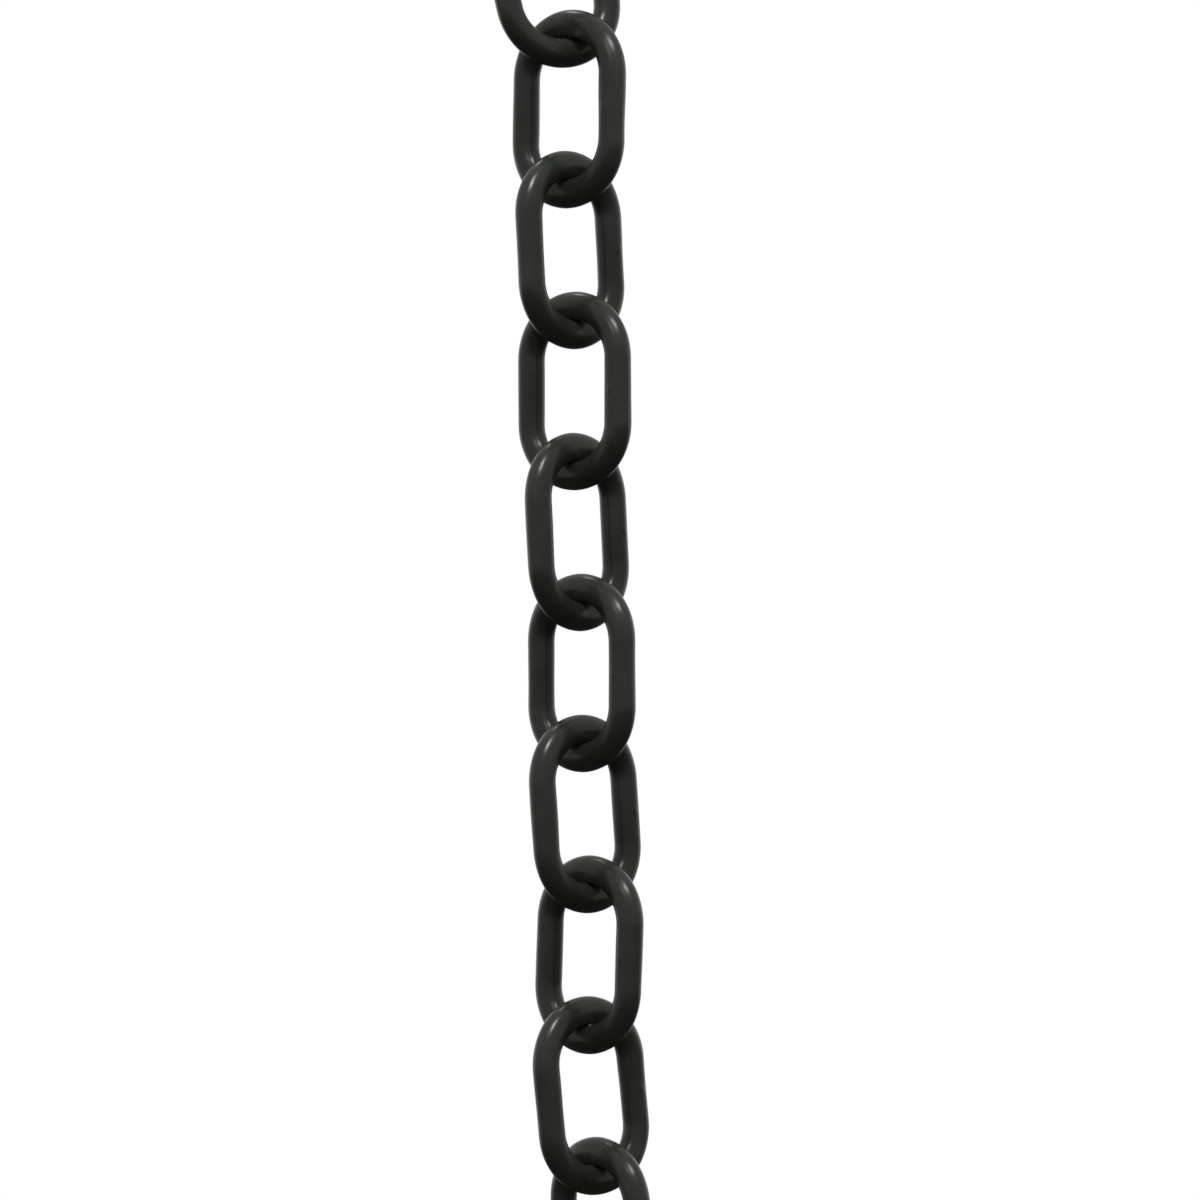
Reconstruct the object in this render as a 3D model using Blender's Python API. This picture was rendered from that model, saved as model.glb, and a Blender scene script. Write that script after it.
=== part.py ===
"""A length of moulded plastic chain, hanging straight down from its top link.

Every link is one closed oval loop of round rod, a little thicker where it bends round its
neighbour than along its two straight legs. Successive links sit a quarter turn apart. Lengths are in
metres, +Z is up, and the origin is the crown of the top link's eye, where a hook would bear.
"""

import math

import bpy
from mathutils import Matrix, Vector

# Driving dimensions of one link
LINK_LENGTH = 0.051
LINK_WIDTH = 0.0368
LEG_DIAMETER = 0.0069
BOW_DIAMETER = 0.0072
BOW_RISE = 0.0137
RUNNING_GAP = 0.0004

# How each link hangs, from the top one down, in degrees: how far it leans from plumb across the
# chain, and how far it is turned from square to its neighbours
HANG_DEG = (
    (10, -12),
    (-3.5, 2.5),
    (0, 2.5),
    (-2.5, 3),
    (0, 5.5),
    (-2.5, -1),
    (1, 1),
    (-4.5, -2),
    (2.5, -1),
    (0, -6),
)
QUARTER_TURN_DEG = 90

# Fineness of the tube
BOW_STEPS = 16
LEG_STEPS = 3
ROUND_RESOLUTION = 4

# Black moulded polyethylene
PLASTIC_COLOUR = (0.025, 0.026, 0.024, 1.0)
PLASTIC_ROUGHNESS = 0.4

# Worked out from the driving dimensions
HALF_SPAN = (LINK_LENGTH - BOW_DIAMETER) / 2
HALF_LEG = HALF_SPAN - BOW_RISE
HALF_GAUGE = (LINK_WIDTH - LEG_DIAMETER) / 2
CROWN_TO_PIVOT = BOW_DIAMETER / 2 + RUNNING_GAP
BOW_TO_PIVOT = BOW_DIAMETER + RUNNING_GAP
PITCH = 2 * HALF_SPAN - BOW_TO_PIVOT
LEAN_AXIS = Vector((1, -1, 0)).normalized()


def clear_scene():
    """Remove every object, so that the script can be run again."""
    for item in list(bpy.data.objects):
        bpy.data.objects.remove(item, do_unlink=True)


def make_plastic():
    """The one plastic that all the links are moulded in."""
    plastic = bpy.data.materials.new("black_polyethylene")
    plastic.use_nodes = True
    shader = plastic.node_tree.nodes["Principled BSDF"]
    shader.inputs["Base Color"].default_value = PLASTIC_COLOUR
    shader.inputs["Roughness"].default_value = PLASTIC_ROUGHNESS
    shader.inputs["Metallic"].default_value = 0.0
    return plastic


def half_loop(side):
    """One bow, then the leg that follows it, as (y, z, rod radius) about the middle of the link.

    side is 1 for the upper bow and the leg at -Y, and -1 for the lower bow and the leg at +Y.
    """
    points = []
    for step in range(BOW_STEPS + 1):
        angle = math.pi * step / BOW_STEPS
        thickening = (BOW_DIAMETER - LEG_DIAMETER) / 2 * math.sin(angle) ** 2
        y = side * HALF_GAUGE * math.cos(angle)
        z = side * (HALF_LEG + BOW_RISE * math.sin(angle))
        points.append((y, z, LEG_DIAMETER / 2 + thickening))
    for step in range(1, LEG_STEPS):
        z = side * HALF_LEG * (1 - 2 * step / LEG_STEPS)
        points.append((-side * HALF_GAUGE, z, LEG_DIAMETER / 2))
    return points


def make_link_curve(plastic):
    """The closed oval of rod, in the YZ plane.

    Its origin is on the rod of the link above, which the upper bow rests on.
    """
    loop = half_loop(1) + half_loop(-1)
    curve = bpy.data.curves.new("chain_link", "CURVE")
    curve.dimensions = "3D"
    curve.twist_mode = "MINIMUM"
    curve.bevel_depth = BOW_DIAMETER / 2
    curve.bevel_resolution = ROUND_RESOLUTION
    curve.render_resolution_u = 0
    spline = curve.splines.new("POLY")
    spline.points.add(len(loop) - 1)
    for point, (y, z, radius) in zip(spline.points, loop):
        point.co = (0, y, z - HALF_SPAN + BOW_TO_PIVOT, 1)
        point.radius = radius / curve.bevel_depth
    spline.use_cyclic_u = True
    spline.use_smooth = True
    curve.materials.append(plastic)
    return curve


def link_rotation(number):
    """How link number stands: a quarter turn on from the one above, and off true as it hangs."""
    lean, turn = HANG_DEG[number]
    turned = Matrix.Rotation(math.radians(QUARTER_TURN_DEG * number + turn), 3, "Z")
    return Matrix.Rotation(math.radians(lean), 3, LEAN_AXIS) @ turned


def make_chain():
    """Hang the links one below the other, each on the lower bow of the link above."""
    chain = bpy.data.collections.new("plastic_chain")
    bpy.context.scene.collection.children.link(chain)
    curve = make_link_curve(make_plastic())
    pivot = link_rotation(0) @ Vector((0, 0, -CROWN_TO_PIVOT))
    for number in range(len(HANG_DEG)):
        rotation = link_rotation(number)
        link = bpy.data.objects.new(f"link_{number + 1:02d}", curve)
        link.location = pivot
        link.rotation_euler = rotation.to_euler()
        chain.objects.link(link)
        pivot = pivot + rotation @ Vector((0, 0, -PITCH))


clear_scene()
make_chain()
bpy.context.view_layer.update()
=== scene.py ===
"""A hanging length of black moulded plastic chain, in a plain white studio.

Each CAD link is replaced by a finely shaped one that follows the same oval, with what moulding and
use leave on it: a seam along its middle, a gate mark, slightly uneven rod, and seats rubbed where
links bear on each other. Lengths are in metres.
"""

import math

import bpy
import numpy as np
from mathutils import Matrix, Vector


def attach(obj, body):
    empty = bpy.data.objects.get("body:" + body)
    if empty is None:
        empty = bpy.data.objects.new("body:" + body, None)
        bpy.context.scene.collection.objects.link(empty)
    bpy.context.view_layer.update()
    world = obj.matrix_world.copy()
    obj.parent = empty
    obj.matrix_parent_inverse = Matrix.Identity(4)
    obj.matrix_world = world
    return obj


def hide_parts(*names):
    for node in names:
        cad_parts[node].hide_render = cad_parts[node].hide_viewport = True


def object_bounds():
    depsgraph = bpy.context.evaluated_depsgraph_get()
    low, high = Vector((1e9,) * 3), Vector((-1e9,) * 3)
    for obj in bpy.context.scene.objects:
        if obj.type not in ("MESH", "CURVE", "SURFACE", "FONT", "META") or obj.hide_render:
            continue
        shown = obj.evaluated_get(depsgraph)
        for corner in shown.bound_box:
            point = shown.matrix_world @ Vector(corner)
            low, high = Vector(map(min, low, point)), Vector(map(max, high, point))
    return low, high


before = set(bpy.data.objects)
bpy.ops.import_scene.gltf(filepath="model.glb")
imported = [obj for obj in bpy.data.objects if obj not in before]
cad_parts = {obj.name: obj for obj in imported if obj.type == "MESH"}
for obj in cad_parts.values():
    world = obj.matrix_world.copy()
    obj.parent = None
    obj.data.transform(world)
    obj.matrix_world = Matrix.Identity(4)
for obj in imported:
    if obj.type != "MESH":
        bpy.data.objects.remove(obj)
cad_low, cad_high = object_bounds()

# A link's shape. Its other sizes are measured on the CAD link, where only the legs are within
# LEGS_ONLY of its length from its middle. SEAT_FILL is how far a seat stands further in than on the
# CAD link: over half the CAD's running gap, so that neighbours bear on each other.
BOW_RISE = 0.0137
SEAT_FILL = 0.000245
FILL_SHARPNESS = 2
SEAT_SHARPNESS = 8
LEGS_ONLY = 0.1

# What moulding leaves on the rod. Waves are counted round the loop. GATE_EDGE is the share of the
# gate mark's radius that slopes.
SEAM_HEIGHT = 0.000015
SEAM_HALF_WIDTH = 0.00012
UNEVENNESS = 0.00004
UNEVEN_WAVES = 5
LONGEST_WAVE = 2
GATE_RADIUS = 0.0009
GATE_HEIGHT = 0.00018
GATE_EDGE = 0.3

# Fineness of the mesh
BOW_STEPS = 56
LEG_STEPS = 22
SIDE_STEPS = 20
SEAM_OFFSETS = (-0.00034, -0.0002, -0.0001, 0.0, 0.0001, 0.0002, 0.00034)

# The plastic's colours and its range of roughness, which rises by RUBBED_DULLNESS where it is rubbed
PLASTIC_IOR = 1.5
DARK_PIGMENT = (0.0345, 0.0380, 0.0318, 1)
PALE_PIGMENT = (0.0480, 0.0528, 0.0450, 1)
RUBBED_COLOUR = (0.066, 0.072, 0.062, 1)
ROUGHNESS = (0.21, 0.28)
RUBBED_DULLNESS = 0.16

# Its noises, in cycles per metre, the spans of noise that are used, how much a scuff shows, and the
# depth of the bumps
CLOUD_SCALE = 140.0
SCUFF_SCALE = 900.0
SHEEN_SCALE = 320.0
PEEL_SCALE = 520.0
GRAIN_SCALE = 3800.0
NOISE_SPAN = (0.3, 0.7)
SCUFF_SPAN = (0.56, 0.74)
SCUFF_WEIGHT = 0.07
PEEL_DEPTH = 0.00003
GRAIN_DEPTH = 0.00001
BUMP_STRENGTH = 0.25

# The camera looks level at the chain, and stands a little askew
CAMERA_AZIMUTH = math.radians(45)
CAMERA_DISTANCE = 1.432
CAMERA_ROLL = math.radians(2.68)
CAMERA_REACH = (0.05, 50)
VIEW_HEIGHT = 0.3080
AIM_ACROSS = 0.0082
AIM_BELOW_EYE = 0.1801
SENSOR = 36.0

# The room's light falls from FRONT_LIGHT to GROUND_LIGHT over GROUND_SPAN, and a level band behind
# the chain adds WALL_LIGHT. Spans are parts of a unit direction: how far it points up for
# GROUND_SPAN, off level for WALL_BAND, and away from the camera for WALL_SPAN.
ROOM_COLOUR = (1, 1, 0.97, 1)
FRONT_LIGHT = 0.39
GROUND_LIGHT = 0.04
GROUND_SPAN = (-0.24, 0.08)
WALL_LIGHT = 0.65
WALL_SPAN = (0.1, 0.8)
WALL_BAND = (0.1, 0.45)

# Each lamp's place, counted from the top eye to the camera's right, towards the camera and up; its
# width and height; and its power
KEY_LIGHT = ((0.42, 0.50, 0.76), (0.46, 0.22), 3.5)
FILL_LIGHT = ((-0.12, 0.48, 0.71), (0.22, 0.28), 3.3)
ACCENT_LIGHT = ((-0.07, 0.54, 0.38), (0.20, 0.20), 0.30)
RIM_LIGHT = ((-0.15, -0.40, 0.55), (0.14, 0.14), 0.25)

# The floor fades out between two shares of its radius
FLOOR_DROP = 0.9
FLOOR_RADIUS = 2.0
FLOOR_FADE = (0.25, 0.97)
FLOOR_COLOUR = (0.78, 0.78, 0.77, 1)
FLOOR_ROUGHNESS = 0.5
FLOOR_GLOW = 0.48
GLOW_COLOUR = (1, 1, 0.99, 1)

CAMERA_BACK = Vector((math.sin(CAMERA_AZIMUTH), -math.cos(CAMERA_AZIMUTH), 0))
CAMERA_LEVEL = Vector((math.cos(CAMERA_AZIMUTH), math.sin(CAMERA_AZIMUTH), 0))
UP = Vector((0, 0, 1))


# ---------------------------------------------------------------- materials


def start_nodes(owner):
    """Empty a material's or world's node tree. Returns its functions to add a node and a link."""
    owner.use_nodes = True
    tree = owner.node_tree
    tree.nodes.clear()

    def add(kind, **settings):
        node = tree.nodes.new(kind)
        for key, value in settings.items():
            if key in node.inputs:
                node.inputs[key].default_value = value
            else:
                setattr(node, key, value)
        return node

    return add, tree.links.new


def map_range(low, high, at_low, at_high):
    """The socket settings of a Map Range node."""
    return {"From Min": low, "From Max": high, "To Min": at_low, "To Max": at_high}


def make_plastic():
    """Black polyethylene, semi-gloss as it comes from the mould, faintly clouded and scuffed."""
    material = bpy.data.materials.new("black_polyethylene")
    add, link = start_nodes(material)
    output = add("ShaderNodeOutputMaterial")
    shader = add("ShaderNodeBsdfPrincipled", Metallic=0.0, IOR=PLASTIC_IOR)
    link(shader.outputs["BSDF"], output.inputs["Surface"])
    place = add("ShaderNodeTexCoord").outputs["Object"]

    def noise(scale, detail, roughness):
        node = add("ShaderNodeTexNoise", Scale=scale, Detail=detail, Roughness=roughness)
        link(place, node.inputs["Vector"])
        return node.outputs["Fac"]

    # Colour: slow clouding of the pigment, and paler rubbed plastic where the links bear
    pigment = add("ShaderNodeValToRGB")
    for stop, position, colour in zip(
        pigment.color_ramp.elements, NOISE_SPAN, (DARK_PIGMENT, PALE_PIGMENT)
    ):
        stop.position = position
        stop.color = colour
    link(noise(CLOUD_SCALE, 3.0, 0.55), pigment.inputs["Fac"])

    scuff = add("ShaderNodeMapRange", **map_range(*SCUFF_SPAN, 0.0, 1.0))
    link(noise(SCUFF_SCALE, 4.0, 0.7), scuff.inputs["Value"])
    seat = add("ShaderNodeAttribute", attribute_name="seat")
    rubbed = add("ShaderNodeMath", operation="MULTIPLY_ADD", use_clamp=True)
    link(scuff.outputs["Result"], rubbed.inputs[0])
    rubbed.inputs[1].default_value = SCUFF_WEIGHT
    link(seat.outputs["Fac"], rubbed.inputs[2])
    colour = add("ShaderNodeMix", data_type="RGBA")
    link(rubbed.outputs["Value"], colour.inputs["Factor"])
    link(pigment.outputs["Color"], colour.inputs["A"])
    colour.inputs["B"].default_value = RUBBED_COLOUR
    link(colour.outputs["Result"], shader.inputs["Base Color"])

    # Gloss: uneven over a few millimetres, duller where rubbed
    gloss = add("ShaderNodeMapRange", **map_range(*NOISE_SPAN, *ROUGHNESS))
    link(noise(SHEEN_SCALE, 4.0, 0.6), gloss.inputs["Value"])
    dull = add("ShaderNodeMath", operation="MULTIPLY_ADD")
    link(rubbed.outputs["Value"], dull.inputs[0])
    dull.inputs[1].default_value = RUBBED_DULLNESS
    link(gloss.outputs["Result"], dull.inputs[2])
    link(dull.outputs["Value"], shader.inputs["Roughness"])

    # Surface: the mould's fine grain over a slow orange peel
    peel = add("ShaderNodeBump", Strength=BUMP_STRENGTH, Distance=PEEL_DEPTH)
    link(noise(PEEL_SCALE, 2.0, 0.5), peel.inputs["Height"])
    grain = add("ShaderNodeBump", Strength=BUMP_STRENGTH, Distance=GRAIN_DEPTH)
    link(noise(GRAIN_SCALE, 2.0, 0.5), grain.inputs["Height"])
    link(peel.outputs["Normal"], grain.inputs["Normal"])
    link(grain.outputs["Normal"], shader.inputs["Normal"])
    return material


def make_floor_material():
    """Pale matt floor, lit a little from within. It fades out outwards, so that no edge shows."""
    material = bpy.data.materials.new("studio_floor")
    add, link = start_nodes(material)
    output = add("ShaderNodeOutputMaterial")
    paint = add("ShaderNodeBsdfDiffuse", Color=FLOOR_COLOUR, Roughness=FLOOR_ROUGHNESS)
    glow = add("ShaderNodeEmission", Color=GLOW_COLOUR, Strength=FLOOR_GLOW)
    bright = add("ShaderNodeAddShader")
    link(paint.outputs["BSDF"], bright.inputs[0])
    link(glow.outputs["Emission"], bright.inputs[1])
    clear = add("ShaderNodeBsdfTransparent")
    distance = add("ShaderNodeVectorMath", operation="LENGTH")
    link(add("ShaderNodeTexCoord").outputs["Object"], distance.inputs[0])
    start, end = (share * FLOOR_RADIUS for share in FLOOR_FADE)
    fade = add(
        "ShaderNodeMapRange", interpolation_type="SMOOTHSTEP", **map_range(start, end, 0.0, 1.0)
    )
    link(distance.outputs["Value"], fade.inputs["Value"])
    mix = add("ShaderNodeMixShader")
    link(fade.outputs["Result"], mix.inputs["Fac"])
    link(bright.outputs["Shader"], mix.inputs[1])
    link(clear.outputs["BSDF"], mix.inputs[2])
    link(mix.outputs["Shader"], output.inputs["Surface"])
    return material


# ---------------------------------------------------------------- links


def measure_link(node):
    """Where a CAD link stands, and its sizes, read from the link itself.

    Its axes are those of its own spread of points: x through the loop, y across it and z along it.
    """
    points = np.array([tuple(vertex.co) for vertex in node.data.vertices])
    centre = points.mean(axis=0)
    axes = np.linalg.eigh(np.cov((points - centre).T))[1]
    along = axes[:, 2] * np.sign(axes[2, 2])
    across = axes[:, 1] * np.sign(axes[:, 1] @ np.array(CAMERA_LEVEL))
    through = np.cross(across, along)
    turn = np.stack([through, across, along], axis=1)
    local = (points - centre) @ turn
    near_middle = np.abs(local[:, 2]) < LEGS_ONLY * np.ptp(local[:, 2])
    return {
        "matrix": Matrix.Translation(Vector(centre)) @ Matrix(turn.tolist()).to_4x4(),
        "length": np.ptp(local[:, 2]),
        "width": np.ptp(local[:, 1]),
        "bow": np.ptp(local[:, 0]),
        "leg": np.ptp(local[near_middle, 0]),
    }


def trace_loop(size):
    """The middle of the rod round the loop: points, outward directions, and depth into a bow."""
    half_gauge = (size["width"] - size["leg"]) / 2
    half_leg = (size["length"] - size["bow"]) / 2 - BOW_RISE
    points, outward, bend = [], [], []
    for side in (1, -1):
        for step in range(BOW_STEPS + 1):
            angle = math.pi * step / BOW_STEPS
            cosine, sine = math.cos(angle), math.sin(angle)
            normal = Vector((side * cosine / half_gauge, side * sine / BOW_RISE)).normalized()
            points.append((side * half_gauge * cosine, side * (half_leg + BOW_RISE * sine)))
            outward.append(tuple(normal))
            bend.append(sine)
        for step in range(1, LEG_STEPS):
            points.append((-side * half_gauge, side * half_leg * (1 - 2 * step / LEG_STEPS)))
            outward.append((-side, 0.0))
            bend.append(0.0)
    return np.array(points), np.array(outward), np.array(bend)


def section_angles(radius):
    """Angles round the rod from its outer side, close together at the outer and inner seams."""
    seam = [offset / radius for offset in SEAM_OFFSETS]
    gap = math.pi - 2 * seam[-1]
    between = [seam[-1] + gap * step / SIDE_STEPS for step in range(1, SIDE_STEPS)]
    half = seam + between
    return np.array(half + [angle + math.pi for angle in half])


def slow_waves(random, count):
    """A smooth random curve round the loop, of about unit height."""
    turn = 2 * math.pi * np.arange(count) / count
    curve = np.zeros(count)
    for wave in range(LONGEST_WAVE, LONGEST_WAVE + UNEVEN_WAVES):
        curve += random.normal() * np.cos(wave * turn + random.uniform(0, 2 * math.pi))
    return curve / math.sqrt(UNEVEN_WAVES / 2)


def tube_faces(count, ring):
    """The faces of a closed tube of count rings, with ring points in each."""
    faces = []
    for i in range(count):
        here, onward = i * ring, (i + 1) % count * ring
        for j in range(ring):
            beside = (j + 1) % ring
            faces.append((here + j, onward + j, onward + beside, here + beside))
    return faces


def make_link(number, node, plastic):
    """One link, as moulded and worn in, in the place of its CAD node."""
    size = measure_link(node)
    random = np.random.RandomState(number)
    points, outward, bend = trace_loop(size)
    seated = bend**SEAT_SHARPNESS
    count = len(points)

    # The rod thickens into each bow. Each seat stands further in by SEAT_FILL: half by a thicker
    # rod, and half by moving the rod inwards, which leaves the outside of the link in its place.
    radius = (size["leg"] + (size["bow"] - size["leg"]) * bend**2) / 2
    fill = SEAT_FILL / 2 * bend**FILL_SHARPNESS
    radius = radius + fill + slow_waves(random, count) * UNEVENNESS * (1 - seated)
    points = points - outward * fill[:, None]

    # The seam runs round the outside and inside of the loop, and is worn off in the seats
    angles = section_angles(size["leg"] / 2)
    outer = np.cos(angles)
    from_seam = np.minimum(np.abs(np.sin(angles / 2)), np.abs(np.cos(angles / 2))) * size["leg"]
    seam = np.exp(-((from_seam / SEAM_HALF_WIDTH) ** 2))
    seam = seam[None, :] * (1 - seated[:, None] * (outer < 0)[None, :])
    reach = radius[:, None] + SEAM_HEIGHT * seam

    across = points[:, 0:1] + reach * outer[None, :] * outward[:, 0:1]
    along = points[:, 1:2] + reach * outer[None, :] * outward[:, 1:2]
    through = reach * np.sin(angles)[None, :]

    # The gate mark: a low round stub on the flank of one leg
    from_gate = np.hypot(along, across - points[-LEG_STEPS // 2, 0])
    gate = np.clip((GATE_RADIUS - from_gate) / (GATE_EDGE * GATE_RADIUS), 0, 1)
    through = through + GATE_HEIGHT * gate * (np.sin(angles) > 0)[None, :]

    corners = np.stack([through, across, along], axis=-1).reshape(-1, 3)
    mesh = bpy.data.meshes.new(f"moulded_{node.name}")
    mesh.from_pydata(corners.tolist(), [], tube_faces(count, len(angles)))
    mesh.transform(size["matrix"])
    seat = mesh.attributes.new("seat", "FLOAT", "POINT")
    bearing = np.sqrt(seated)[:, None] * np.clip(-outer, 0, 1)[None, :] ** 2
    seat.data.foreach_set("value", bearing.ravel())
    mesh.shade_smooth()
    mesh.materials.append(plastic)
    link = bpy.data.objects.new(f"moulded_{node.name}", mesh)
    bpy.context.scene.collection.objects.link(link)
    return link


def make_chain():
    """A moulded link in place of each CAD link, from the top one down."""
    plastic = make_plastic()
    chain = []
    for number, name in enumerate(sorted(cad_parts)):
        link = make_link(number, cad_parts[name], plastic)
        chain.append(link)
        bpy.context.view_layer.update()
        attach(link, name)
        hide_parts(name)
    return chain


# ---------------------------------------------------------------- studio


def make_camera():
    """The camera, level with the middle of the view, at a corner between the links' planes."""
    data = bpy.data.cameras.new("camera")
    data.sensor_width = SENSOR
    data.lens = SENSOR * CAMERA_DISTANCE / VIEW_HEIGHT
    data.clip_start, data.clip_end = CAMERA_REACH
    camera = bpy.data.objects.new("camera", data)
    aim = CAMERA_LEVEL * AIM_ACROSS - UP * AIM_BELOW_EYE
    right = CAMERA_LEVEL * math.cos(CAMERA_ROLL) - UP * math.sin(CAMERA_ROLL)
    top = CAMERA_LEVEL * math.sin(CAMERA_ROLL) + UP * math.cos(CAMERA_ROLL)
    turn = Matrix((right, top, CAMERA_BACK)).transposed().to_4x4()
    camera.matrix_world = Matrix.Translation(aim + CAMERA_BACK * CAMERA_DISTANCE) @ turn
    bpy.context.scene.collection.objects.link(camera)
    bpy.context.scene.camera = camera


def make_softbox(name, place, size, power, lit=None):
    """A soft light, turned to the middle of the chain. If lit is given, it lights only those."""
    right, forward, above = place
    data = bpy.data.lights.new(name, "AREA")
    data.shape = "RECTANGLE"
    data.size, data.size_y = size
    data.energy = power
    lamp = bpy.data.objects.new(name, data)
    lamp.location = CAMERA_LEVEL * right + CAMERA_BACK * forward + UP * above
    middle = (cad_low + cad_high) / 2
    lamp.rotation_euler = (lamp.location - middle).to_track_quat("Z", "Y").to_euler()
    bpy.context.scene.collection.objects.link(lamp)
    if lit:
        receivers = bpy.data.collections.new(f"{name}_lights")
        for piece in lit:
            receivers.objects.link(piece)
        lamp.light_linking.receiver_collection = receivers


def make_world():
    """A white surround to look at. It sheds most from behind the chain, and least from below."""
    world = bpy.data.worlds.new("studio")
    add, link = start_nodes(world)
    output = add("ShaderNodeOutputWorld")
    direction = add("ShaderNodeTexCoord").outputs["Generated"]

    def ramp(low, high, at_low, at_high, value):
        settings = map_range(low, high, at_low, at_high)
        step = add("ShaderNodeMapRange", interpolation_type="SMOOTHSTEP", **settings)
        link(value, step.inputs["Value"])
        return step.outputs["Result"]

    split = add("ShaderNodeSeparateXYZ")
    link(direction, split.inputs["Vector"])
    height = split.outputs["Z"]
    front = ramp(*GROUND_SPAN, GROUND_LIGHT, FRONT_LIGHT, height)
    behind = add("ShaderNodeVectorMath", operation="DOT_PRODUCT")
    link(direction, behind.inputs[0])
    behind.inputs[1].default_value = -CAMERA_BACK
    wall = ramp(*WALL_SPAN, 0, WALL_LIGHT, behind.outputs["Value"])
    from_level = add("ShaderNodeMath", operation="ABSOLUTE")
    link(height, from_level.inputs[0])
    band = ramp(*WALL_BAND, 1, 0, from_level.outputs["Value"])
    total = add("ShaderNodeMath", operation="MULTIPLY_ADD")
    for value, socket in zip((wall, band, front), total.inputs):
        link(value, socket)

    room = add("ShaderNodeBackground", Color=ROOM_COLOUR)
    link(total.outputs["Value"], room.inputs["Strength"])
    seen = add("ShaderNodeBackground", Color=(1, 1, 1, 1))
    mix = add("ShaderNodeMixShader")
    link(add("ShaderNodeLightPath").outputs["Is Camera Ray"], mix.inputs["Fac"])
    link(room.outputs["Background"], mix.inputs[1])
    link(seen.outputs["Background"], mix.inputs[2])
    link(mix.outputs["Shader"], output.inputs["Surface"])
    bpy.context.scene.world = world


def make_floor():
    """A pale floor well below the hanging chain. It sheds no light on the chain."""
    mesh = bpy.data.meshes.new("floor")
    corners = [(-1, -1, 0), (1, -1, 0), (1, 1, 0), (-1, 1, 0)]
    mesh.from_pydata([Vector(corner) * FLOOR_RADIUS for corner in corners], [], [(0, 1, 2, 3)])
    mesh.materials.append(make_floor_material())
    floor = bpy.data.objects.new("floor", mesh)
    floor.location = (0, 0, cad_low.z - FLOOR_DROP)
    floor.visible_diffuse = False
    floor.visible_glossy = False
    bpy.context.scene.collection.objects.link(floor)


bpy.context.scene.view_settings.view_transform = "Standard"
make_camera()
make_world()
make_floor()
chain = make_chain()

# The even links' near legs are on the camera's right and the odd links' on its left, and each kind
# has lamps of its own
even_links, odd_links = chain[1::2], chain[0::2]
make_softbox("key_light", *KEY_LIGHT, even_links)
make_softbox("fill_light", *FILL_LIGHT, odd_links)
make_softbox("accent_light", *ACCENT_LIGHT, even_links)
make_softbox("rim_light", *RIM_LIGHT)
